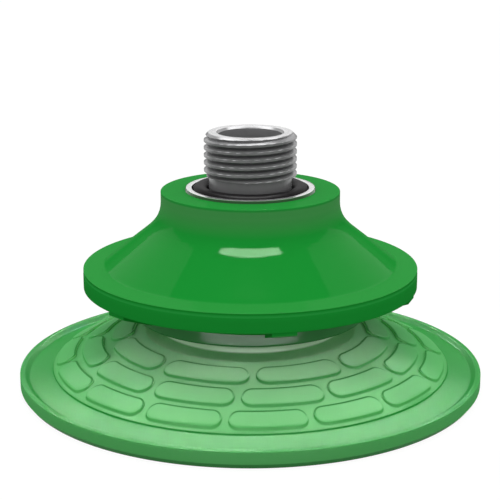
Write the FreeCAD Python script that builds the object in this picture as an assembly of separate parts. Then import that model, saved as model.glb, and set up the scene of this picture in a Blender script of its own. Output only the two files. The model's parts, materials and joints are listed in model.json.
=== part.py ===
import FreeCAD
import Part
import math
import os

# Bellows suction cup with a threaded metal fitting.
# A stiff moulded bellows holds the fitting in its collar, and a softer lip is bonded under its flange.
# Millimetres, +Z up, the axis on Z, Z = 0 on the sealing edge, the front towards -Y.

# Fitting: pipe thread, seal groove and barrel
thread_r = 8.33
thread_top_z = 46.36
thread_end_z = 38.6
thread_chamfer = 0.5
relief_r = 7.45
relief_taper = 0.4
bore_r = 5.66
bore_chamfer = 0.4
shoulder_z = 36.34
shoulder_r = 11.63
groove_r = 10.53
groove_depth = 1.74
barrel_length = 7.74
ridge_height = 1.0
ridge_width = 2.0
ridge_crest = 1.0
ridge_from_base = 2.0

# Seal ring in the fitting's groove
seal_proud = 0.52
seal_relief_gap = 0.2
seal_groove_gap = 0.08
seal_round = 1.2
seal_foot_round = 0.3

# Stiff bellows: collar, cone and flange
socket_clearance = 0.05
collar_r = 16.14
collar_below_shoulder = 0.48
collar_edge_round = 0.2
collar_foot_round = 6.2
throat_turn = 8.4
throat_round = 15.0
throat_flat = 0.06
cone_angle = 38.6
cone_foot_r = 26.6
cone_foot_z = 22.38
cone_wall = 3.0
flange_r = 30.32
flange_top_z = 22.0
flange_draft = 0.03
parting_z = 21.2
flange_bottom_z = 18.58
flange_edge_round = 0.12
under_angle = 19.6
under_wall = 2.4
fold_round = 1.0
floor_thickness = 1.6
floor_hole_r = 9.0
ceiling_round = 2.0

# Stops under the flange that land on the lip
stop_count = 6
stop_first_angle = 10.75
stop_width = 4.2
stop_inset = 0.3
stop_length = 6.0
stop_height = 0.6

# Soft lip: neck ring, waist fold, domed skirt, and a rim bead beyond a valley
bond_z = 15.6
neck_r = 21.3
neck_wall = 3.1
neck_bottom_z = 13.1
neck_chamfer = 0.35
waist_r = 16.7
waist_top_z = 11.75
waist_bottom_z = 10.44
waist_wall = 2.6
waist_round = 0.6
waist_inner_top_z = 12.2
waist_inner_bottom_z = 8.2
fold_inner_z = 14.1
inner_round = 1.0
hub_r = 19.2
hub_z = 9.88
field_r = 36.28
field_z = 3.68
dome_rise = 0.5
field_step = 0.32
field_step_draft = 0.08
valley_r = 40.55
valley_z = 2.52
valley_round = 0.3
bead_r = 41.4
bead_z = 3.22
lip_r = 42.3
rim_top_z = 3.1
rim_bottom_z = 1.0
foot_r = 41.55
skirt_wall = 2.3
skirt_inner_r = 18.4

# Raised pads on the lip, in three rings from the hub outwards
pad_counts = [9, 12, 15]
pad_gap_angles = [1.0, -4.1, -7.0]
pad_inner_radii = [21.45, 27.02, 32.1]
pad_outer_radii = [25.62, 30.88, 35.62]
pad_height = 0.45
pad_root = 0.5
pad_gap = 1.15

front = -90.0
axis_up = FreeCAD.Vector(0, 0, 1)
centre = FreeCAD.Vector(0, 0, 0)


def slope(angle):
    return math.tan(math.radians(angle))


def rise_of(wall, angle):
    """Vertical thickness of a wall that lies at an angle to the horizontal."""
    return wall / math.cos(math.radians(angle))


def on_section(r, z):
    return FreeCAD.Vector(r, 0, z)


def rounded_corner(before, corner, after, radius):
    """Start, middle and end of the arc that rounds a corner of a section."""
    to_before = (before - corner).normalize()
    to_after = (after - corner).normalize()
    half_angle = to_before.getAngle(to_after) / 2
    bisector = (to_before + to_after).normalize()
    reach = radius / math.tan(half_angle)
    middle = corner + bisector * (radius / math.sin(half_angle) - radius)
    return corner + to_before * reach, middle, corner + to_after * reach


def section_face(corners, arcs=None):
    """Face within corners (r, z, rounding). arcs gives a point on the side after a corner, where it bends."""
    arcs = arcs or {}
    points = [on_section(r, z) for r, z, rounding in corners]
    count = len(points)
    arrivals, middles, departures = [], [], []
    for i, (r, z, rounding) in enumerate(corners):
        if rounding:
            after = points[(i + 1) % count]
            arrive, middle, depart = rounded_corner(points[i - 1], points[i], after, rounding)
        else:
            arrive, middle, depart = points[i], None, points[i]
        arrivals.append(arrive)
        middles.append(middle)
        departures.append(depart)
    edges = []
    for i in range(count):
        following = (i + 1) % count
        if middles[i]:
            edges.append(Part.Arc(arrivals[i], middles[i], departures[i]).toShape())
        if i in arcs:
            edges.append(Part.Arc(departures[i], on_section(*arcs[i]), arrivals[following]).toShape())
        else:
            edges.append(Part.LineSegment(departures[i], arrivals[following]).toShape())
    return Part.Face(Part.Wire(edges))


def turned(corners, arcs=None):
    return section_face(corners, arcs).revolve(centre, axis_up, 360)


# Heights and radii that follow from the driving sizes
groove_z = shoulder_z - groove_depth
barrel_z = shoulder_z - barrel_length
ridge_z = barrel_z + ridge_from_base
ridge_slant = (ridge_width - ridge_crest) / 2
neck_bore_r = neck_r - neck_wall


def ridge_section(root_r):
    """Retaining ridge on the barrel, from its top to its foot."""
    return [
        (root_r, ridge_z + ridge_width, 0),
        (root_r + ridge_height, ridge_z + ridge_width - ridge_slant, 0),
        (root_r + ridge_height, ridge_z + ridge_slant, 0),
        (root_r, ridge_z, 0),
    ]


def threaded_fitting():
    return turned([
        (bore_r, thread_top_z - bore_chamfer, 0),
        (bore_r + bore_chamfer, thread_top_z, 0),
        (thread_r - thread_chamfer, thread_top_z, 0),
        (thread_r, thread_top_z - thread_chamfer, 0),
        (thread_r, thread_end_z, 0),
        (relief_r, thread_end_z - relief_taper, 0),
        (relief_r, groove_z, 0),
        (groove_r, groove_z, 0),
        (groove_r, shoulder_z, 0),
        (shoulder_r, shoulder_z, 0),
        *ridge_section(shoulder_r),
        (shoulder_r, barrel_z, 0),
        (bore_r, barrel_z, 0),
    ])


def seal_ring():
    inner_r = relief_r + seal_relief_gap
    outer_r = groove_r - seal_groove_gap
    top_z = shoulder_z + seal_proud
    return turned([
        (inner_r, groove_z, seal_foot_round),
        (inner_r, top_z, seal_round),
        (outer_r, top_z, seal_round),
        (outer_r, groove_z, seal_foot_round),
    ])


def underside_z(r):
    """Height of the flange's sloping underside."""
    return flange_bottom_z - (flange_r - r) * slope(under_angle)


def bellows_body():
    socket_r = shoulder_r + socket_clearance
    collar_z = shoulder_z - collar_below_shoulder
    # A large arc eases the cone into the smaller round at the collar's foot
    throat_angle = cone_angle + throat_turn
    throat_run = throat_round * slope(throat_turn / 2) + throat_flat
    throat_run += collar_foot_round * slope((90 - throat_angle) / 2)
    throat_r = collar_r + throat_run * math.cos(math.radians(throat_angle))
    throat_z = cone_foot_z + (cone_foot_r - throat_r) * slope(cone_angle)
    collar_foot_z = throat_z + (throat_r - collar_r) * slope(throat_angle)
    bond_edge_r = flange_r - (flange_bottom_z - bond_z) / slope(under_angle)
    # The two inner walls meet at the fold: equal heights on both lines
    under_rise = rise_of(under_wall, under_angle)
    cone_drop = rise_of(cone_wall, cone_angle)
    cone_at_axis = cone_foot_z + cone_foot_r * slope(cone_angle) - cone_drop
    under_at_axis = underside_z(0) + under_rise
    fold_r = (cone_at_axis - under_at_axis) / (slope(cone_angle) + slope(under_angle))
    fold_z = underside_z(fold_r) + under_rise
    ceiling_z = barrel_z - floor_thickness
    ceiling_r = (cone_at_axis - ceiling_z) / slope(cone_angle)
    return turned([
        (socket_r, collar_z, 0),
        (collar_r, collar_z, collar_edge_round),
        (collar_r, collar_foot_z, collar_foot_round),
        (throat_r, throat_z, throat_round),
        (cone_foot_r, cone_foot_z, 0),
        (flange_r - flange_draft, flange_top_z, 0),
        (flange_r, parting_z, 0),
        (flange_r, flange_bottom_z, flange_edge_round),
        (bond_edge_r, bond_z, 0),
        (neck_bore_r, bond_z, 0),
        (neck_bore_r, underside_z(neck_bore_r) + under_rise, 0),
        (fold_r, fold_z, fold_round),
        (ceiling_r, ceiling_z, ceiling_round),
        (floor_hole_r, ceiling_z, 0),
        (floor_hole_r, barrel_z, 0),
        (socket_r, barrel_z, 0),
        *reversed(ridge_section(socket_r)),
    ])


def flange_stop():
    """One stop along +X: a short rib that follows the flange's underside."""
    outer_r = flange_r - stop_inset
    inner_r = outer_r - stop_length
    profile = section_face([
        (inner_r, underside_z(inner_r) + stop_height, 0),
        (outer_r, underside_z(outer_r) + stop_height, 0),
        (outer_r, underside_z(outer_r) - stop_height, 0),
        (inner_r, underside_z(inner_r) - stop_height, 0),
    ])
    profile.translate(FreeCAD.Vector(0, -stop_width / 2, 0))
    return profile.extrude(FreeCAD.Vector(0, stop_width, 0))


def upper_bellows():
    stops = []
    for i in range(stop_count):
        stop = flange_stop()
        stop.rotate(centre, axis_up, front + stop_first_angle + i * 360 / stop_count)
        stops.append(stop)
    return bellows_body().fuse(stops).removeSplitter()


# The lip's domed top is an arc from the hub to the edge of the pad field
chord_r = field_r - hub_r
chord_z = field_z - hub_z
chord = math.hypot(chord_r, chord_z)
dome_r = (chord ** 2 / 4 + dome_rise ** 2) / (2 * dome_rise)
dome_centre_r = (hub_r + field_r) / 2 + chord_z / chord * (dome_r - dome_rise)
dome_centre_z = (hub_z + field_z) / 2 - chord_r / chord * (dome_r - dome_rise)


def dome_z(r, offset):
    """Height of the surface that lies at an offset outside the dome."""
    return dome_centre_z + math.sqrt((dome_r + offset) ** 2 - (r - dome_centre_r) ** 2)


def lip_body():
    waist_bore_r = waist_r - waist_wall
    under_r = dome_r - skirt_wall
    land_r = dome_centre_r + math.sqrt(under_r ** 2 - dome_centre_z ** 2)
    top_middle_r = (hub_r + field_r) / 2
    under_middle_r = (skirt_inner_r + land_r) / 2
    corners = [
        (neck_bore_r, bond_z, 0),
        (neck_r, bond_z, 0),
        (neck_r, neck_bottom_z + neck_chamfer, 0),
        (neck_r - neck_chamfer, neck_bottom_z, 0),
        (waist_r, waist_top_z, waist_round),
        (waist_r, waist_bottom_z, 0),
        (hub_r, hub_z, 0),
        (field_r, field_z, 0),
        (field_r + field_step_draft, field_z - field_step, 0),
        (valley_r, valley_z, valley_round),
        (bead_r, bead_z, 0),
        (lip_r, rim_top_z, 0),
        (lip_r, rim_bottom_z, 0),
        (foot_r, 0, 0),
        (land_r, 0, 0),
        (skirt_inner_r, dome_z(skirt_inner_r, -skirt_wall), 0),
        (waist_bore_r, waist_inner_bottom_z, inner_round),
        (waist_bore_r, waist_inner_top_z, inner_round),
        (neck_bore_r, fold_inner_z, inner_round),
    ]
    hub_corner = corners.index((hub_r, hub_z, 0))
    land_corner = corners.index((land_r, 0, 0))
    return turned(corners, {
        hub_corner: (top_middle_r, dome_z(top_middle_r, 0)),
        land_corner: (under_middle_r, dome_z(under_middle_r, -skirt_wall)),
    })


def pad_layer():
    """Shell over the dome that gives every pad its top and its root."""
    inner_r = pad_inner_radii[0] - pad_gap
    outer_r = field_r
    middle_r = (inner_r + outer_r) / 2
    corners = [
        (inner_r, dome_z(inner_r, -pad_root), 0),
        (inner_r, dome_z(inner_r, pad_height), 0),
        (outer_r, dome_z(outer_r, pad_height), 0),
        (outer_r, dome_z(outer_r, -pad_root), 0),
    ]
    return turned(corners, {
        1: (middle_r, dome_z(middle_r, pad_height)),
        3: (middle_r, dome_z(middle_r, -pad_root)),
    })


def pad_prism(inner_r, outer_r, from_angle, to_angle):
    """Upright prism over one pad: a bent slot shape with half-round ends."""
    middle_r = (inner_r + outer_r) / 2
    end_r = (outer_r - inner_r) / 2
    cap = math.degrees(end_r / middle_r)
    start, stop = from_angle + cap, to_angle - cap

    def at(r, angle):
        return FreeCAD.Vector(r * math.cos(math.radians(angle)), r * math.sin(math.radians(angle)), 0)

    outline = [
        Part.Arc(at(outer_r, start), at(outer_r, (start + stop) / 2), at(outer_r, stop)),
        Part.Arc(at(outer_r, stop), at(middle_r, to_angle), at(inner_r, stop)),
        Part.Arc(at(inner_r, stop), at(inner_r, (start + stop) / 2), at(inner_r, start)),
        Part.Arc(at(inner_r, start), at(middle_r, from_angle), at(outer_r, start)),
    ]
    face = Part.Face(Part.Wire([arc.toShape() for arc in outline]))
    return face.extrude(FreeCAD.Vector(0, 0, bond_z))


def pads():
    prisms = []
    rings = zip(pad_counts, pad_gap_angles, pad_inner_radii, pad_outer_radii)
    for count, gap_angle, inner_r, outer_r in rings:
        pitch = 360 / count
        half_gap = math.degrees(pad_gap / (inner_r + outer_r))
        for i in range(count):
            first = front + gap_angle + i * pitch
            prisms.append(pad_prism(inner_r, outer_r, first + half_gap, first + pitch - half_gap))
    return pad_layer().common(Part.makeCompound(prisms)).Solids


def sealing_lip():
    return lip_body().fuse(pads()).removeSplitter()


nodes = {
    "threaded_fitting": threaded_fitting,
    "seal_ring": seal_ring,
    "upper_bellows": upper_bellows,
    "sealing_lip": sealing_lip,
}

os.makedirs("parts", exist_ok=True)
for name, build in nodes.items():
    shape = build()
    shape.exportStep("parts/" + name + ".step")
    print(name, "solids", len(shape.Solids), "valid", shape.isValid(), "volume", round(shape.Volume, 1))
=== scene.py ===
import json
import math

import bpy
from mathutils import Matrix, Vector


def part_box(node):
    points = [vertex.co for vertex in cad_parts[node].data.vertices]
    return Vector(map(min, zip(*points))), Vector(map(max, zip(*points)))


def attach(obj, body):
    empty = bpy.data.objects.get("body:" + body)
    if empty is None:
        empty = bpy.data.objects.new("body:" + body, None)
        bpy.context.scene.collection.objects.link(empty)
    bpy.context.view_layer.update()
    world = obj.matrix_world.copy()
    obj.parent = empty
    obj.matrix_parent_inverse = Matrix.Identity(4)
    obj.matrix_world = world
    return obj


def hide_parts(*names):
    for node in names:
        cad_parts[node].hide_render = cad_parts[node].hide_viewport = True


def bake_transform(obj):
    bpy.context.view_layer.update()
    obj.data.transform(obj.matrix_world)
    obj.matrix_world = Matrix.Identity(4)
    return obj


# Bellows suction cup: turned metal fitting, black seal ring, stiff green bellows and a soft pale lip.
# Sections are in millimetres, as (radius, height, rounding).
# Angles are in degrees from the front, to the right.

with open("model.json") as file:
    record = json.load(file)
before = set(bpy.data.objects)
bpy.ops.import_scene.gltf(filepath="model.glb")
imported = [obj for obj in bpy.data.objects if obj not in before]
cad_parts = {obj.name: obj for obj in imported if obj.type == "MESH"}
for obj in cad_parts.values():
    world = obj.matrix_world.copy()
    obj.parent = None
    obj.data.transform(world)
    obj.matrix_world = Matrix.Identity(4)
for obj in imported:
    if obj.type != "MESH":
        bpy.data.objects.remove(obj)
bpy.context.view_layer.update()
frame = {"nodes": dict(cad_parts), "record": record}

MM = 0.001
mounts = {mount["name"]: mount for mount in frame["record"]["mounts"]}

# Fitting: pipe thread, seal groove and barrel
thread_r = mounts["thread"]["dims"]["r_mm"]
thread_top_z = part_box("threaded_fitting")[1].z / MM
thread_end_z = 38.7
thread_end_line = 0.2
thread_chamfer = 0.8
thread_pitch = 1.337
thread_depth = 0.856
thread_crest_width = 0.22
thread_crest_drop = 0.18
thread_crest_z = 43.98
thread_row = 0.05
relief_r = 7.45
relief_taper = 0.15
bore_r = 5.66
bore_chamfer = 0.4
bore_edge_round = 0.08
bore_foot_round = 0.2
shoulder_z = mounts["shoulder"]["pos_m"][2] / MM
shoulder_r = 11.63
shoulder_round = 0.12
groove_r = 10.53
groove_depth = 1.74
groove_round = 0.2
groove_edge_round = 0.1
barrel_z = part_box("threaded_fitting")[0].z / MM
barrel_round = 0.3
ridge_height = 1.0
ridge_width = 2.0
ridge_slant = 0.5
ridge_from_base = 2.0

# Stiff bellows: collar, cone and flange
socket_clearance = 0.05
socket_edge_round = 0.08
collar_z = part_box("upper_bellows")[1].z / MM
collar_r = 16.14
collar_edge_round = 0.2
collar_foot_round = 6.2
throat_turn = 8.4
throat_round = 15.0
throat_flat = 0.06
cone_angle = 38.6
cone_foot_r = 26.6
cone_foot_z = 22.38
cone_foot_round = 1.2
cone_wall = 3.0
flange_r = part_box("upper_bellows")[1].x / MM
flange_top_z = 22.0
flange_draft = 0.03
flange_top_round = 0.06
parting_z = 21.2
parting_step = 0.03
parting_fall = 0.15
flange_bottom_z = 18.58
flange_edge_round = 0.12
under_angle = 19.6
under_wall = 2.4
under_edge_round = 0.4
fold_round = 1.0
floor_thickness = 1.6
floor_hole_r = 9.0
floor_edge_round = 0.3
ceiling_round = 2.0

# Stops under the flange
stop_count = 6
stop_first_angle = 10.75
stop_width = 4.2
stop_inset = 0.3
stop_length = 6.0
stop_height = 0.6

# Soft lip: neck ring, waist fold, domed skirt, and a rim bead beyond a valley
bond_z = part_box("sealing_lip")[1].z / MM
neck_r = 21.3
neck_bore_r = 18.2
neck_bottom_z = 13.1
neck_chamfer = 0.35
neck_edge_round = 0.05
waist_r = 16.7
waist_bore_r = 14.1
waist_top_z = 11.75
waist_bottom_z = 10.44
waist_round = 0.6
seat_round = 0.2
waist_inner_top_z = 12.2
waist_inner_bottom_z = 8.2
fold_inner_z = 14.1
inner_round = 1.0
hub_r = 19.2
hub_z = 9.88
hub_round = 0.15
field_r = 36.28
field_z = 3.68
field_round = 0.08
field_land = 0.3
dome_rise = 0.5
field_step = 0.32
field_step_draft = 0.08
valley_r = 40.55
valley_z = 2.52
valley_round = 0.3
bead_r = 41.4
bead_z = 3.22
bead_round = 0.35
lip_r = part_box("sealing_lip")[1].x / MM
rim_top_z = 3.1
rim_round = 0.12
rim_bottom_z = 1.0
foot_r = 41.55
foot_round = 0.3
skirt_wall = 2.3
skirt_inner_r = 18.4

# Raised pads on the lip, in three rings from the hub outwards
pad_counts = [9, 12, 15]
pad_gap_angles = [1.0, -4.1, -7.0]
pad_inner_radii = [21.45, 27.02, 32.1]
pad_outer_radii = [25.62, 30.88, 35.62]
pad_channel = 0.6
pad_height = 0.45
pad_gap = 1.15
pad_foot_round = 0.1
pad_edge_round = 0.08
pad_line = 0.26
pad_line_fade = 0.05
pad_side_points = 4

# Painted light and shade that the meshes carry to their materials, from light thin walls to dark lines
painted_wall_light = -1.0
pad_top_shade = -0.12
pad_wall_shade = 0.06
pad_foot_shade = 0.12
line_shade = 1.0

# Mesh fineness, with one column for each degree, on which the pads' cells begin and end
columns = 360
round_steps = 5
side_step = 0.8
sharp_angle = math.radians(38)


def slope(angle):
    return math.tan(math.radians(angle))


def rise_of(wall, angle):
    """Vertical thickness of a wall that lies at an angle to the horizontal."""
    return wall / math.cos(math.radians(angle))


def place(r, angle, z):
    turn = math.radians(angle)
    return Vector((r * math.sin(turn), -r * math.cos(turn), z)) * MM


def corner_arc(before, corner, after, radius):
    """Points of the arc that rounds a corner of a section."""
    to_before = (before - corner).normalized()
    to_after = (after - corner).normalized()
    half_angle = to_before.angle(to_after) / 2
    reach = radius / math.tan(half_angle)
    middle = corner + (to_before + to_after).normalized() * (radius / math.sin(half_angle))
    first = corner + to_before * reach - middle
    last = corner + to_after * reach - middle
    sweep = math.pi - 2 * half_angle
    points = []
    for i in range(round_steps + 1):
        share = i / round_steps
        start_weight = math.sin((1 - share) * sweep) / math.sin(sweep)
        end_weight = math.sin(share * sweep) / math.sin(sweep)
        points.append(middle + first * start_weight + last * end_weight)
    return points


def section(corners, closed=True):
    """Points along a section, with its rounded corners as arcs and its long sides divided."""
    spots = [Vector((r, z)) for r, z, rounding in corners]
    outline = []
    for i, (r, z, rounding) in enumerate(corners):
        if rounding:
            outline += corner_arc(spots[i - 1], spots[i], spots[(i + 1) % len(spots)], rounding)
        else:
            outline.append(spots[i])
    points = []
    for i, point in enumerate(outline):
        points.append(point)
        if i + 1 == len(outline) and not closed:
            break
        following = outline[(i + 1) % len(outline)]
        pieces = math.ceil((following - point).length / side_step)
        points += [point.lerp(following, k / pieces) for k in range(1, pieces)]
    return points


def new_object(name, data):
    piece = bpy.data.objects.new(name, data)
    bpy.context.scene.collection.objects.link(piece)
    return piece


class Skin:
    """Points and faces of one piece, gathered ring by ring round the axis."""

    def __init__(self):
        self.points = []
        self.faces = []
        self.shades = []
        self.heights = []

    def point(self, r, angle, z, shade=0.0):
        self.points.append(place(r, angle, z))
        self.shades.append(shade)
        self.heights.append(z)
        return len(self.points) - 1

    def ring(self, r, z, shade=0.0):
        return [self.point(r, column * 360 / columns, z, shade) for column in range(columns)]

    def join(self, first, second):
        for i in range(len(first)):
            following = (i + 1) % len(first)
            self.faces.append((first[i], first[following], second[following], second[i]))

    def turn(self, outline):
        rings = [self.ring(r, z) for r, z in outline]
        for i, ring in enumerate(rings):
            self.join(ring, rings[(i + 1) % len(rings)])

    def make(self, name):
        mesh = bpy.data.meshes.new(name)
        mesh.from_pydata(self.points, [], self.faces)
        for kind, values in (("shade", self.shades), ("rest_height", self.heights)):
            mesh.attributes.new(kind, "FLOAT", "POINT").data.foreach_set("value", values)
        finish_shading(mesh)
        return new_object(name, mesh)


def finish_shading(mesh):
    mesh.validate()
    mesh.shade_smooth()
    mesh.set_sharp_from_angle(angle=sharp_angle)


def ridge_section(root_r):
    """Retaining ridge on the barrel, from its top to its foot."""
    ridge_z = barrel_z + ridge_from_base
    return [
        (root_r, ridge_z + ridge_width, 0),
        (root_r + ridge_height, ridge_z + ridge_width - ridge_slant, 0),
        (root_r + ridge_height, ridge_z + ridge_slant, 0),
        (root_r, ridge_z, 0),
    ]


def thread_surface_r(angle, z):
    """Radius of the right-hand thread at one place, cut down at its two ends."""
    turns = (z - thread_crest_z) / thread_pitch - angle / 360
    above_crest = (turns - round(turns)) * thread_pitch
    half_crest = thread_crest_width / 2
    # A crest reaches further down from its middle than up
    if above_crest > 0:
        share = (above_crest - half_crest) / (thread_pitch / 2 - thread_crest_width)
    else:
        lower_edge = half_crest + thread_crest_drop
        share = (-above_crest - lower_edge) / (thread_pitch / 2 - lower_edge)
    share = min(max(share, 0), 1)
    top_limit = thread_r - thread_chamfer + (thread_top_z - z)
    end_limit = relief_r + (z - thread_end_z + relief_taper) * (thread_r - relief_r) / relief_taper
    return max(min(thread_r - thread_depth * share, top_limit, end_limit), relief_r)


def threaded_fitting():
    skin = Skin()
    groove_z = shoulder_z - groove_depth
    # All but the thread, from a dark line of painted shade at the thread's lower end round to its upper
    # end
    plain_part = section([
        (relief_r, thread_end_z - relief_taper, 0),
        (relief_r, thread_end_z - relief_taper - thread_end_line, 0),
        (relief_r, groove_z, groove_round),
        (groove_r, groove_z, groove_round),
        (groove_r, shoulder_z, groove_edge_round),
        (shoulder_r, shoulder_z, shoulder_round),
        *ridge_section(shoulder_r),
        (shoulder_r, barrel_z, barrel_round),
        (bore_r, barrel_z, bore_foot_round),
        (bore_r, thread_top_z - bore_chamfer, bore_edge_round),
        (bore_r + bore_chamfer, thread_top_z, bore_edge_round),
        (thread_r - thread_chamfer, thread_top_z, 0),
    ], closed=False)
    rings = [skin.ring(r, z, line_shade if i == 0 else 0.0) for i, (r, z) in enumerate(plain_part)]
    height = thread_top_z - plain_part[0].y
    rows = round(height / thread_row)
    for row in range(1, rows):
        z = thread_top_z - height * row / rows
        ring = []
        for column in range(columns):
            angle = column * 360 / columns
            r = thread_surface_r(angle, z)
            # Painted shade in the grooves, darker towards the root, fading in down the first turn
            share = min((thread_top_z - z) / thread_pitch, 1)
            ring.append(skin.point(r, angle, z, line_shade * share * (thread_r - r) / thread_depth))
        rings.append(ring)
    for i, ring in enumerate(rings):
        skin.join(ring, rings[(i + 1) % len(rings)])
    return skin.make("fitting_turned")


def underside_z(r):
    """Height of the flange's sloping underside."""
    return flange_bottom_z - (flange_r - r) * slope(under_angle)


def flange_stops():
    """The six stops, as one mesh of short ribs that follow the flange's underside."""
    outer_r = flange_r - stop_inset
    inner_r = outer_r - stop_length
    points = []
    faces = []
    for i in range(stop_count):
        turn = math.radians(stop_first_angle + i * 360 / stop_count)
        along = Vector((math.sin(turn), -math.cos(turn), 0))
        across = Vector((math.cos(turn), math.sin(turn), 0)) * stop_width / 2
        base = len(points)
        for r in (inner_r, outer_r):
            for side in (-1, 1):
                for height in (-stop_height, stop_height):
                    lift = Vector((0, 0, underside_z(r) + height))
                    points.append((along * r + across * side + lift) * MM)
        box = [(0, 1, 3, 2), (4, 6, 7, 5), (0, 4, 5, 1), (2, 3, 7, 6), (0, 2, 6, 4), (1, 5, 7, 3)]
        faces += [tuple(base + corner for corner in face) for face in box]
    mesh = bpy.data.meshes.new("flange_stops")
    mesh.from_pydata(points, [], faces)
    return new_object("flange_stops", mesh)


def unite(piece, addition):
    """Joins a second closed mesh to a piece and removes the second one."""
    union = piece.modifiers.new("union", "BOOLEAN")
    union.operation = "UNION"
    union.solver = "EXACT"
    union.object = addition
    bpy.context.view_layer.update()
    joined = bpy.data.meshes.new_from_object(piece.evaluated_get(bpy.context.evaluated_depsgraph_get()))
    piece.modifiers.clear()
    piece.data = joined
    bpy.data.objects.remove(addition)
    finish_shading(joined)


def upper_bellows():
    socket_r = shoulder_r + socket_clearance
    # A large arc eases the cone into the smaller round at the collar's foot
    throat_angle = cone_angle + throat_turn
    throat_run = throat_round * slope(throat_turn / 2) + throat_flat
    throat_run += collar_foot_round * slope((90 - throat_angle) / 2)
    throat_r = collar_r + throat_run * math.cos(math.radians(throat_angle))
    throat_z = cone_foot_z + (cone_foot_r - throat_r) * slope(cone_angle)
    collar_foot_z = throat_z + (throat_r - collar_r) * slope(throat_angle)
    bond_edge_r = flange_r - (flange_bottom_z - bond_z) / slope(under_angle)
    under_rise = rise_of(under_wall, under_angle)
    cone_at_axis = cone_foot_z + cone_foot_r * slope(cone_angle) - rise_of(cone_wall, cone_angle)
    under_at_axis = underside_z(0) + under_rise
    fold_r = (cone_at_axis - under_at_axis) / (slope(cone_angle) + slope(under_angle))
    ceiling_z = barrel_z - floor_thickness
    ceiling_r = (cone_at_axis - ceiling_z) / slope(cone_angle)
    skin = Skin()
    skin.turn(section([
        (socket_r, collar_z, socket_edge_round),
        (collar_r, collar_z, collar_edge_round),
        (collar_r, collar_foot_z, collar_foot_round),
        (throat_r, throat_z, throat_round),
        (cone_foot_r, cone_foot_z, cone_foot_round),
        (flange_r - flange_draft, flange_top_z, flange_top_round),
        (flange_r - parting_step, parting_z, 0),
        (flange_r, parting_z - parting_fall, 0),
        (flange_r, flange_bottom_z, flange_edge_round),
        (bond_edge_r, bond_z, 0),
        (neck_bore_r, bond_z, 0),
        (neck_bore_r, underside_z(neck_bore_r) + under_rise, under_edge_round),
        (fold_r, underside_z(fold_r) + under_rise, fold_round),
        (ceiling_r, ceiling_z, ceiling_round),
        (floor_hole_r, ceiling_z, floor_edge_round),
        (floor_hole_r, barrel_z, 0),
        (socket_r, barrel_z, 0),
        *reversed(ridge_section(socket_r)),
    ]))
    piece = skin.make("bellows_moulding")
    unite(piece, flange_stops())
    return piece


# The lip's domed top is an arc from the hub to the edge of the pad field
chord_r = field_r - hub_r
chord_z = field_z - hub_z
chord = math.hypot(chord_r, chord_z)
dome_r = (chord ** 2 / 4 + dome_rise ** 2) / (2 * dome_rise)
dome_centre_r = (hub_r + field_r) / 2 + chord_z / chord * (dome_r - dome_rise)
dome_centre_z = (hub_z + field_z) / 2 - chord_r / chord * (dome_r - dome_rise)


def dome_z(r, offset=0.0):
    """Height of the surface that lies at an offset outside the dome."""
    return dome_centre_z + math.sqrt((dome_r + offset) ** 2 - (r - dome_centre_r) ** 2)


def dome_stretch(from_r, to_r, offset):
    """Points between two radii of the surface that lies at an offset outside the dome."""
    steps = math.ceil(abs(to_r - from_r) / side_step)
    radii = [from_r + (to_r - from_r) * i / steps for i in range(steps + 1)]
    return [(r, dome_z(r, offset)) for r in radii]


def pad_levels(half_width):
    """Steps up a pad's side: distance from its spine, height, painted shade, and painted light and shade
    added towards the hub.
    """
    diagonal = math.sqrt(0.5)
    foot = half_width + pad_foot_round
    edge = half_width - pad_edge_round
    line = edge - pad_line
    foot_rise = pad_foot_round * (1 - diagonal)
    edge_fall = pad_edge_round * (1 - diagonal)
    return [
        (foot + pad_foot_round, 0.0, 0.0, 0.0),
        (foot, 0.0, pad_foot_shade, 0.0),
        (foot - pad_foot_round * diagonal, foot_rise, pad_foot_shade, 0.0),
        (half_width, pad_foot_round, pad_wall_shade, painted_wall_light),
        (half_width, pad_height - pad_edge_round, pad_wall_shade, painted_wall_light),
        (edge + pad_edge_round * diagonal, pad_height - edge_fall, 0.0, line_shade / 2),
        (edge, pad_height, 0.0, line_shade),
        (line, pad_height, 0.0, line_shade),
        (line - pad_line_fade, pad_height, pad_top_shade, 0.0),
        (half_width / 2, pad_height, pad_top_shade, 0.0),
    ]


def pad_cell(skin, border, centre_angle, middle_r, half_width, half_length):
    """One pad and the channel round it, inside a border loop of (point, radius, angle)."""
    straight = half_length - half_width
    spokes = []
    for index, r, angle in border:
        along = math.radians(angle - centre_angle) * middle_r
        across = r - middle_r
        spine = min(max(along, -straight), straight)
        reach = math.hypot(along - spine, across)
        spokes.append((spine, (along - spine) / reach, across / reach))

    def spot(spine, step_along, step_across, height, shade):
        angle = centre_angle + math.degrees((spine + step_along) / middle_r)
        r = middle_r + step_across
        return skin.point(r, angle, dome_z(r, height), shade)

    loop = [index for index, r, angle in border]
    for distance, height, shade, hub_shade in pad_levels(half_width):
        inner = []
        for spine, along, across in spokes:
            full_shade = shade + hub_shade * math.sqrt(max(-across, 0))
            inner.append(spot(spine, along * distance, across * distance, height, full_shade))
        skin.join(loop, inner)
        loop = inner
    ridge = {}
    for spine, along, across in spokes:
        key = round(spine, 6)
        if key not in ridge:
            ridge[key] = spot(spine, 0, 0, pad_height, pad_top_shade)
    for i, point in enumerate(loop):
        following = (i + 1) % len(loop)
        here = ridge[round(spokes[i][0], 6)]
        there = ridge[round(spokes[following][0], 6)]
        if here == there:
            skin.faces.append((point, loop[following], there))
        else:
            skin.faces.append((point, loop[following], there, here))


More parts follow.
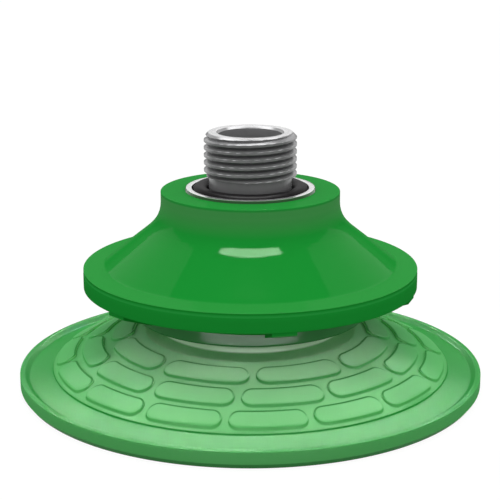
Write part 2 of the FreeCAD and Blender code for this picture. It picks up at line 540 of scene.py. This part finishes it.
def pad_band(skin, inner_ring, outer_ring, from_r, to_r, count, gap_angle, pad_inner_r, pad_outer_r):
    """All pads of one ring, between two circles of the dome."""
    pitch = 360 // count
    first_column = round(gap_angle)
    middle_r = (pad_inner_r + pad_outer_r) / 2
    half_width = (pad_outer_r - pad_inner_r) / 2
    half_length = math.radians(pitch / 2) * middle_r - pad_gap / 2
    sides = []
    for i in range(count):
        column = first_column + i * pitch
        side = []
        for k in range(1, pad_side_points + 1):
            r = from_r + (to_r - from_r) * k / (pad_side_points + 1)
            side.append((skin.point(r, column, dome_z(r)), r, column))
        sides.append(side)
    for i in range(count):
        start = first_column + i * pitch
        stop = start + pitch
        right_side = [(index, r, stop) for index, r, column in sides[(i + 1) % count]]
        border = [(inner_ring[column % columns], from_r, column) for column in range(start, stop + 1)]
        border += right_side
        border += [(outer_ring[column % columns], to_r, column) for column in range(stop, start - 1, -1)]
        border += reversed(sides[i])
        pad_cell(skin, border, gap_angle + (i + 0.5) * pitch, middle_r, half_width, half_length)


def sealing_lip():
    skin = Skin()
    circles = [pad_inner_radii[0] - pad_channel]
    circles += [(pad_outer_radii[i] + pad_inner_radii[i + 1]) / 2 for i in range(len(pad_counts) - 1)]
    circles.append(pad_outer_radii[-1] + pad_channel)
    under_r = dome_r - skirt_wall
    land_r = dome_centre_r + math.sqrt(under_r ** 2 - dome_centre_z ** 2)
    outer_side = section([
        (field_r - field_land, dome_z(field_r - field_land), 0),
        (field_r, field_z, field_round),
        (field_r + field_step_draft, field_z - field_step, field_round),
        (valley_r, valley_z, valley_round),
        (bead_r, bead_z, bead_round),
        (lip_r, rim_top_z, rim_round),
        (lip_r, rim_bottom_z, rim_round),
        (foot_r, 0, foot_round),
        (land_r, 0, 0),
    ], closed=False)
    inner_side = section([
        (skirt_inner_r, dome_z(skirt_inner_r, -skirt_wall), 0),
        (waist_bore_r, waist_inner_bottom_z, inner_round),
        (waist_bore_r, waist_inner_top_z, inner_round),
        (neck_bore_r, fold_inner_z, inner_round),
        (neck_bore_r, bond_z, 0),
        (neck_r, bond_z, 0),
        (neck_r, neck_bottom_z + neck_chamfer, neck_edge_round),
        (neck_r - neck_chamfer, neck_bottom_z, neck_edge_round),
        (waist_r, waist_top_z, waist_round),
        (waist_r, waist_bottom_z, seat_round),
        (hub_r, hub_z, hub_round),
        (circles[0], dome_z(circles[0]), 0),
    ], closed=False)
    underside = dome_stretch(land_r, skirt_inner_r, -skirt_wall)[1:-1]
    outline = [(circles[-1], dome_z(circles[-1])), *outer_side, *underside, *inner_side]
    rings = [skin.ring(r, z) for r, z in outline]
    for first, second in zip(rings, rings[1:]):
        skin.join(first, second)
    inner_ring = rings[-1]
    for i, count in enumerate(pad_counts):
        last = i + 1 == len(pad_counts)
        outer_ring = rings[0] if last else skin.ring(circles[i + 1], dome_z(circles[i + 1]))
        pad_band(
            skin, inner_ring, outer_ring, circles[i], circles[i + 1],
            count, pad_gap_angles[i], pad_inner_radii[i], pad_outer_radii[i],
        )
        inner_ring = outer_ring
    return skin.make("lip_moulding")


# Materials
def node_adder(tree):
    """A function that adds a node to a tree, with its inputs set or linked by place or by name."""

    def fill(socket, value):
        if isinstance(value, bpy.types.NodeSocket):
            tree.links.new(value, socket)
        else:
            socket.default_value = value

    def add(kind, *values, settings=None, **named):
        node = tree.nodes.new(kind)
        for key, value in (settings or {}).items():
            setattr(node, key, value)
        for i, value in enumerate(values):
            fill(node.inputs[i], value)
        for key, value in named.items():
            fill(node.inputs[key.replace("_", " ")], value)
        return node

    return add


def new_material(name):
    """A node material with its Principled shader, and helpers that add nodes and link them to it."""
    material = bpy.data.materials.new(name)
    material.use_nodes = True
    tree = material.node_tree
    shader = next(node for node in tree.nodes if node.type == "BSDF_PRINCIPLED")

    def link(source, name):
        tree.links.new(source, shader.inputs[name])

    return material, shader, node_adder(tree), link


def bare_material(name):
    """A material without nodes, and the function that adds nodes to it."""
    material = bpy.data.materials.new(name)
    material.use_nodes = True
    material.node_tree.nodes.clear()
    return material, node_adder(material.node_tree)


def grey(level):
    return (level, level, level)


def spread(add, value, low, high):
    """Maps a 0 to 1 value onto a range."""
    return add("ShaderNodeMapRange", Value=value, To_Min=low, To_Max=high).outputs[0]


def combined(add, operation, first, second):
    """Two values put together by a math operation."""
    return add("ShaderNodeMath", first, second, settings={"operation": operation}).outputs[0]


def mesh_value(add, name):
    """A value that the mesh carries at each of its points."""
    return add("ShaderNodeAttribute", settings={"attribute_name": name}).outputs["Fac"]


def fine_noise(add, scale):
    spot = add("ShaderNodeTexCoord").outputs["Object"]
    return add("ShaderNodeTexNoise", Vector=spot, Scale=scale, Detail=3.0).outputs[0]


def fine_bump(add, link, height, strength):
    """Fine relief in the surface, from a height of 0 to 1."""
    depth = 0.02 * MM
    bump = add("ShaderNodeBump", Strength=strength, Distance=depth, Height=height)
    link(bump.outputs[0], "Normal")


def axis_distance(add):
    """Distance of the shaded point from the axis, in metres."""
    spot = add("ShaderNodeTexCoord").outputs["Object"]
    flat = add("ShaderNodeVectorMath", spot, (1, 1, 0), settings={"operation": "MULTIPLY"})
    return add("ShaderNodeVectorMath", flat.outputs[0], settings={"operation": "LENGTH"}).outputs["Value"]


def on_outer_side(add, r, rounding):
    """1 on the outer side of a rounded edge at a radius, and 0 further in."""
    start = (r - rounding) * MM
    end = (r - rounding / 4) * MM
    return add("ShaderNodeMapRange", Value=axis_distance(add), From_Min=start, From_Max=end).outputs[0]


def colour_ramp(add, value, stops):
    """A colour for each 0 to 1 value, from a list of places and colours."""
    ramp = add("ShaderNodeValToRGB", value)
    elements = ramp.color_ramp.elements
    while len(elements) < len(stops):
        elements.new(1.0)
    for element, (position, colour) in zip(elements, stops):
        element.position = position
        element.color = (*colour, 1)
    return ramp.outputs[0]


def height_ramp(add, top_z, stops):
    """A colour for each height on the part at rest, from a list of heights and colours."""
    share = add("ShaderNodeMapRange", Value=mesh_value(add, "rest_height"), From_Max=top_z).outputs[0]
    return colour_ramp(add, share, [(z / top_z, colour) for z, colour in stops])


def tinted(add, noise, dark, light):
    """A colour that runs from dark to light between the bounds of most noise values."""
    noise_low = 0.3
    noise_high = 0.7
    return colour_ramp(add, noise, [(noise_low, dark), (noise_high, light)])


def mixed(add, share, first, second, kind="MIX"):
    """Two colours mixed, or multiplied, as far as the share says."""
    mix = add("ShaderNodeMix", share, settings={"data_type": "RGBA", "blend_type": kind})
    # The node's sockets for colours come after those for numbers and vectors
    for socket, value in ((mix.inputs[6], first), (mix.inputs[7], second)):
        if isinstance(value, bpy.types.NodeSocket):
            mix.id_data.links.new(value, socket)
        else:
            socket.default_value = (*value, 1)
    return mix.outputs[2]


def coat_only(shader, weight, roughness):
    """Gloss from a thin coat alone, which keeps the edges seen at a flat angle from turning white."""
    shader.inputs["Specular IOR Level"].default_value = 0.0
    shader.inputs["Coat Weight"].default_value = weight
    shader.inputs["Coat Roughness"].default_value = roughness


def turned_metal():
    """Satin metal with turning marks, with painted shade in the thread's grooves and a painted reflection
    on the shoulder's side.
    """
    material, shader, add, link = new_material("turned_metal")
    dark = (0.36, 0.36, 0.365)
    light = (0.40, 0.40, 0.405)
    painted_groove_shade = grey(0.4)
    painted_collar_reflection = (0.08, 0.2, 0.085)
    shader.inputs["Metallic"].default_value = 0.5
    patches = fine_noise(add, 300.0)
    # Painted shade: darker where the mesh's shade marks the grooves
    groove = add("ShaderNodeMapRange", Value=mesh_value(add, "shade"), From_Min=0.5).outputs[0]
    tone = mixed(add, groove, tinted(add, patches, dark, light), painted_groove_shade, "MULTIPLY")
    # Painted reflection: the shoulder's side has the tone of the green collar beside it, which is kept
    # out of reflections
    on_side = on_outer_side(add, shoulder_r, shoulder_round)
    link(mixed(add, on_side, tone, painted_collar_reflection), "Base Color")
    link(spread(add, patches, 0.20, 0.28), "Roughness")
    marks = add(
        "ShaderNodeTexNoise", W=axis_distance(add), Scale=9000.0, settings={"noise_dimensions": "1D"})
    fine_bump(add, link, marks.outputs[0], strength=0.06)
    return material


def black_rubber():
    material, shader, add, link = new_material("black_rubber")
    dark = (0.011, 0.010, 0.011)
    light = (0.017, 0.015, 0.016)
    shader.inputs["Specular IOR Level"].default_value = 0.05
    grain = fine_noise(add, 2500.0)
    link(tinted(add, grain, dark, light), "Base Color")
    link(spread(add, grain, 0.3, 0.4), "Roughness")
    fine_bump(add, link, grain, strength=0.2)
    return material


def stiff_green():
    """Deep glossy green, with painted sheen that makes the flange top and the collar a little paler, and
    a painted light line and dark line on the flange's side.
    """
    material, shader, add, link = new_material("stiff_green")
    wall = (0.0115, 0.31, 0.036)
    painted_bevel_highlight = (0.024, 0.375, 0.058)
    edge = (0.005, 0.24, 0.02)
    flange = (0.028, 0.335, 0.053)
    collar = (0.07, 0.36, 0.09)
    painted_collar_top_sheen = (0.022, 0.32, 0.048)
    cloud_tint = (0.6, 0.7, 0.6)
    # Heights at which the tones start and end, and how far they fade
    bevel_foot_z = parting_z + 0.04
    bevel_top_z = parting_z + 0.2
    bevel_fade = 0.06
    edge_foot_z = flange_top_z - 0.2
    edge_top_z = flange_top_z - 0.1
    edge_fade = 0.1
    flange_foot_z = flange_top_z - 0.05
    cone_start_z = flange_top_z + 0.6
    cone_fade = 0.2
    throat_tone_z = 30.84
    collar_tone_z = 34.07
    collar_side_z = collar_z - 0.54
    collar_edge_z = collar_z - 0.36
    tone = height_ramp(add, collar_z, [
        # Painted highlight: a light line on the flange's side near the parting
        (bevel_foot_z - bevel_fade, wall),
        (bevel_foot_z, painted_bevel_highlight),
        (bevel_top_z, painted_bevel_highlight),
        # Painted shade: a dark line just under the flange's top edge
        (edge_foot_z - edge_fade, wall),
        (edge_foot_z, edge),
        (edge_top_z, edge),
        # Painted sheen: a paler flange top
        (flange_foot_z, flange),
        (cone_start_z - cone_fade, flange),
        (cone_start_z, wall),
        # Painted sheen: the collar's wall and top paler than the cone
        (throat_tone_z, wall),
        (collar_tone_z, collar),
        (collar_side_z, collar),
        (collar_edge_z, painted_collar_top_sheen),
    ])
    clouds = fine_noise(add, 120.0)
    link(mixed(add, spread(add, clouds, 0.0, 0.12), tone, cloud_tint, "MULTIPLY"), "Base Color")
    link(spread(add, clouds, 0.35, 0.45), "Roughness")
    coat_only(shader, weight=0.06, roughness=0.06)
    fine_bump(add, link, fine_noise(add, 3000.0), strength=0.05)
    return material


def soft_green():
    """Pale satin green, darker towards the hub, with painted shade on the seat, on the neck under the
    flange and in lines at the pads, a painted highlight on the waist, lighter painted walls on the pads'
    hub side, and painted sheen on the outer wall.
    """
    material, shader, add, link = new_material("soft_green")
    wall = (0.1, 0.465, 0.128)
    rim = (0.03, 0.335, 0.055)
    skirt = (0.12, 0.52, 0.145)
    middle = (0.1, 0.46, 0.132)
    hub = (0.095, 0.42, 0.125)
    seat = (0.12, 0.38, 0.13)
    waist = (0.66, 0.92, 0.64)
    neck = (0.055, 0.25, 0.075)
    painted_line_tint = (0.3, 0.5, 0.33)
    painted_line_strength = 0.9
    painted_light_wall_tone = (0.36, 0.85, 0.38)
    band_gloss = grey(0.2)
    pad_gloss = grey(0.107)
    hub_gloss = grey(0.12)
    seat_gloss = grey(0.02)
    pad_top_gain = 1.114
    line_gain = 0.05
    # Heights at which the tones and the gloss change, and how far they fade
    middle_z = 7.02
    hub_gloss_z = 8.58
    crisp = 0.047
    fold_fade = 0.31
    field_fade = 0.2
    tone = height_ramp(add, bond_z, [
        (field_z - crisp, rim),
        (field_z + crisp, skirt),
        (middle_z, middle),
        (hub_z - crisp, hub),
        # Painted shade on the seat, between the hub and the waist
        (hub_z, seat),
        (waist_bottom_z, seat),
        # Painted highlight on the waist
        (waist_bottom_z + fold_fade, waist),
        (waist_top_z, waist),
        # Painted shade on the neck under the flange
        (neck_bottom_z, neck),
    ])
    gloss = height_ramp(add, bond_z, [
        (field_z - field_fade, band_gloss),
        (field_z, pad_gloss),
        (hub_gloss_z, pad_gloss),
        (hub_z - crisp, hub_gloss),
        (hub_z, seat_gloss),
        (waist_bottom_z, seat_gloss),
        (waist_bottom_z + fold_fade, pad_gloss),
    ])
    shade = mesh_value(add, "shade")
    on_wall = on_outer_side(add, lip_r, rim_round)
    # Painted shade: dark pad feet, pad walls and lines on the pads' hub-side edges
    tone = mixed(add, spread(add, shade, 0.0, painted_line_strength), tone, painted_line_tint, "MULTIPLY")
    # Painted light: paler walls on the pads' hub side
    thin = add("ShaderNodeMapRange", Value=shade, From_Min=pad_top_shade, From_Max=painted_wall_light).outputs[0]
    tone = mixed(add, thin, tone, painted_light_wall_tone)
    # Painted sheen: the outer wall's paler tone
    link(mixed(add, on_wall, tone, wall), "Base Color")
    grain = fine_noise(add, 2000.0)
    link(spread(add, grain, 0.45, 0.55), "Roughness")
    # The coat is each height's gloss, more on the pads' tops and nearly none on dark lines and the wall
    coat_only(shader, weight=0.2, roughness=0.2)
    matt = combined(add, "ADD", shade, on_wall)
    gain = add(
        "ShaderNodeMapRange", Value=matt, From_Min=pad_top_shade, To_Min=pad_top_gain, To_Max=line_gain)
    link(combined(add, "MULTIPLY", gloss, gain.outputs[0]), "Coat Weight")
    shader.inputs["Subsurface Weight"].default_value = 0.2
    shader.inputs["Subsurface Radius"].default_value = (0.4, 1.0, 0.4)
    shader.inputs["Subsurface Scale"].default_value = 1.5 * MM
    fine_bump(add, link, grain, strength=0.08)
    return material


def dress(piece, material):
    piece.data.materials.clear()
    piece.data.materials.append(material)


fitting = threaded_fitting()
dress(fitting, turned_metal())
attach(fitting, "head")
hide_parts("threaded_fitting")

seal = frame["nodes"]["seal_ring"]
seal.data.materials.clear()
seal.data.materials.append(black_rubber())

bellows = upper_bellows()
dress(bellows, stiff_green())
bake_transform(bellows)
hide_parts("upper_bellows")

lip = sealing_lip()
dress(lip, soft_green())
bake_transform(lip)
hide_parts("sealing_lip")


# Stage, light and camera
def shown_ray(add):
    """1 for rays that show the background: straight to the camera, in a reflection or through glass."""
    path = add("ShaderNodeLightPath").outputs
    mirrored = combined(add, "MAXIMUM", path["Is Glossy Ray"], path["Is Transmission Ray"])
    return combined(add, "MAXIMUM", path["Is Camera Ray"], mirrored)


def white_floor():
    """A floor that shows white with the object's faint shadow, and throws little light back up."""
    half_size = 2.0
    depth = 0.05 * MM
    bounce_tone = grey(0.25)
    shadow_tone = grey(0.8)
    white_level = 1.06
    white_share = 0.88
    points = [(x * half_size, y * half_size, 0) for x, y in ((-1, -1), (1, -1), (1, 1), (-1, 1))]
    mesh = bpy.data.meshes.new("floor")
    mesh.from_pydata(points, [], [(0, 1, 2, 3)])
    material, add = bare_material("floor_white")
    dull = add("ShaderNodeBsdfDiffuse", (*bounce_tone, 1))
    shaded = add("ShaderNodeBsdfDiffuse", (*shadow_tone, 1))
    white = add("ShaderNodeEmission", Strength=white_level)
    shown = add("ShaderNodeMixShader", white_share, shaded.outputs[0], white.outputs[0])
    either = add("ShaderNodeMixShader", shown_ray(add), dull.outputs[0], shown.outputs[0])
    add("ShaderNodeOutputMaterial", Surface=either.outputs[0])
    mesh.materials.append(material)
    floor = new_object("floor", mesh)
    floor.location.z = -depth


def studio_world():
    """An even sky as the light, white to the camera; in reflections, a white band, dimmer in front."""
    dim_level = 0.3
    world = bpy.data.worlds.new("studio")
    bpy.context.scene.world = world
    world.use_nodes = True
    world.node_tree.nodes.clear()
    add = node_adder(world.node_tree)
    way = add("ShaderNodeSeparateXYZ", add("ShaderNodeTexCoord").outputs["Generated"]).outputs
    sky = add("ShaderNodeBackground", Strength=combined(add, "GREATER_THAN", way["Z"], 0.0))
    behind = add("ShaderNodeMapRange", Value=way["Y"], From_Min=-0.3, From_Max=0.7, To_Min=dim_level)
    # Places on the band are the upward part of a direction: 0 at the horizon, 1 overhead
    dim = grey(dim_level)
    full = grey(1.0)
    band = colour_ramp(add, way["Z"], [(0.1, dim), (0.2, full), (0.55, full), (0.7, dim)])
    level = combined(add, "MULTIPLY", behind.outputs[0], band)
    mirrored = add("ShaderNodeBackground", Strength=level)
    white = add("ShaderNodeBackground", (1, 1, 1, 1))
    path = add("ShaderNodeLightPath").outputs
    reflected = add("ShaderNodeMixShader", shown_ray(add), sky.outputs[0], mirrored.outputs[0])
    seen = add("ShaderNodeMixShader", path["Is Camera Ray"], reflected.outputs[0], white.outputs[0])
    add("ShaderNodeOutputWorld", Surface=seen.outputs[0])


def floor_flag():
    """A dim ring on the floor round the object, brighter towards the back, seen only in reflections."""
    inner_r = 0.065
    outer_r = 2.0
    height = 0.1 * MM
    count = 96
    front_y = 0.05
    back_y = 0.13
    front_level = 0.13
    back_level = 0.7
    turns = [2 * math.pi * i / count for i in range(count)]
    points = [(r * math.sin(turn), -r * math.cos(turn), 0) for r in (inner_r, outer_r) for turn in turns]
    faces = [(i, (i + 1) % count, count + (i + 1) % count, count + i) for i in range(count)]
    mesh = bpy.data.meshes.new("floor_flag")
    mesh.from_pydata(points, [], faces)
    material, add = bare_material("flag_dim")
    way = add("ShaderNodeSeparateXYZ", add("ShaderNodeTexCoord").outputs["Object"]).outputs
    behind = add("ShaderNodeMapRange", Value=way["Y"], From_Min=front_y, From_Max=back_y).outputs[0]
    dim = add("ShaderNodeEmission", Strength=spread(add, behind, front_level, back_level))
    add("ShaderNodeOutputMaterial", Surface=dim.outputs[0])
    mesh.materials.append(material)
    flag = new_object("floor_flag", mesh)
    flag.location.z = height
    flag.visible_camera = False
    flag.visible_diffuse = False
    flag.visible_transmission = False
    flag.visible_shadow = False


def panel_lamp(name, rise, span, width, radiance, turn=0.0):
    """A far lamp that rises from the horizon in front, over the top, and is turned round the axis.

    Its place and its size are in degrees, as seen from the object.
    """
    distance = 2.0
    aim = Vector((0, 0, 0.02))
    lift = math.radians(rise)
    lamp = bpy.data.lights.new(name, "AREA")
    lamp.shape = "RECTANGLE"
    lamp.size = 2 * distance * slope(width / 2)
    lamp.size_y = 2 * distance * slope(span / 2)
    lamp.energy = radiance * math.pi * lamp.size * lamp.size_y
    panel = new_object(name, lamp)
    panel.location = aim + place(math.cos(lift), turn, math.sin(lift)) / MM * distance
    panel.rotation_euler = (aim - panel.location).to_track_quat("-Z", "Y").to_euler()
    panel.visible_camera = False
    return panel


def sheen_panel(name, pieces, rise, span, width, radiance, turn=0.0, tint=(1, 1, 1), hidden_too=True):
    """A panel that shows only in the gloss of some pieces, if asked also where others hide it."""
    panel = panel_lamp(name, rise, span, width, radiance, turn)
    panel.data.color = tint
    panel.data.use_shadow = not hidden_too
    panel.data.cycles.use_multiple_importance_sampling = not hidden_too
    panel.visible_diffuse = False
    receivers = bpy.data.collections.new(name + "_receivers")
    for piece in pieces:
        receivers.objects.link(piece)
    panel.light_linking.receiver_collection = receivers


def photo_camera():
    """The camera that was fitted to the ellipses in the photo."""
    view = bpy.data.cameras.new("view")
    view.sensor_width = 36.0
    view.lens = 99.72
    camera = new_object("view", view)
    camera.location = (-0.00006, -0.243498, 0.08991)
    camera.rotation_euler = (math.radians(74.975), 0, 0)
    bpy.context.scene.camera = camera


white_floor()
studio_world()
floor_flag()
mint = (0.71, 1.0, 0.69)
leaf = (0.61, 1.0, 0.61)
side_turn = 130
overhead = panel_lamp("overhead", rise=85, span=40, width=50, radiance=1.2)
overhead.visible_glossy = False
sheen_panel("thread_sheen", [fitting], rise=98, span=36, width=100, radiance=4.0, hidden_too=False)
sheen_panel("seal_sheen", [seal], rise=98, span=36, width=40, radiance=26, hidden_too=False)
sheen_panel("rim_sheen", [fitting], rise=161, span=14, width=18, radiance=1.6, hidden_too=False)
sheen_panel(
    "cone_sheen", [bellows], rise=77.4, span=13, width=41, radiance=121, tint=mint, hidden_too=False)
for side, turn in (("right", side_turn), ("left", -side_turn)):
    sheen_panel(
        "cone_sheen_" + side, [bellows], rise=37, span=43, width=40,
        radiance=3.5, turn=turn, hidden_too=False)
sheen_panel("lip_sheen_top", [lip], rise=118, span=28, width=57, radiance=37, tint=leaf)
sheen_panel("lip_sheen_middle", [lip], rise=138, span=12, width=60, radiance=20, tint=leaf)
sheen_panel("lip_sheen_low", [lip], rise=149.5, span=11, width=60, radiance=16, tint=leaf)
sheen_panel("lip_sheen_front", [lip], rise=-17, span=20, width=90, radiance=24)
# The metal and the lip mirror the studio alone, as they do in the photo
bellows.visible_glossy = False
photo_camera()
bpy.context.scene.view_settings.view_transform = "Standard"
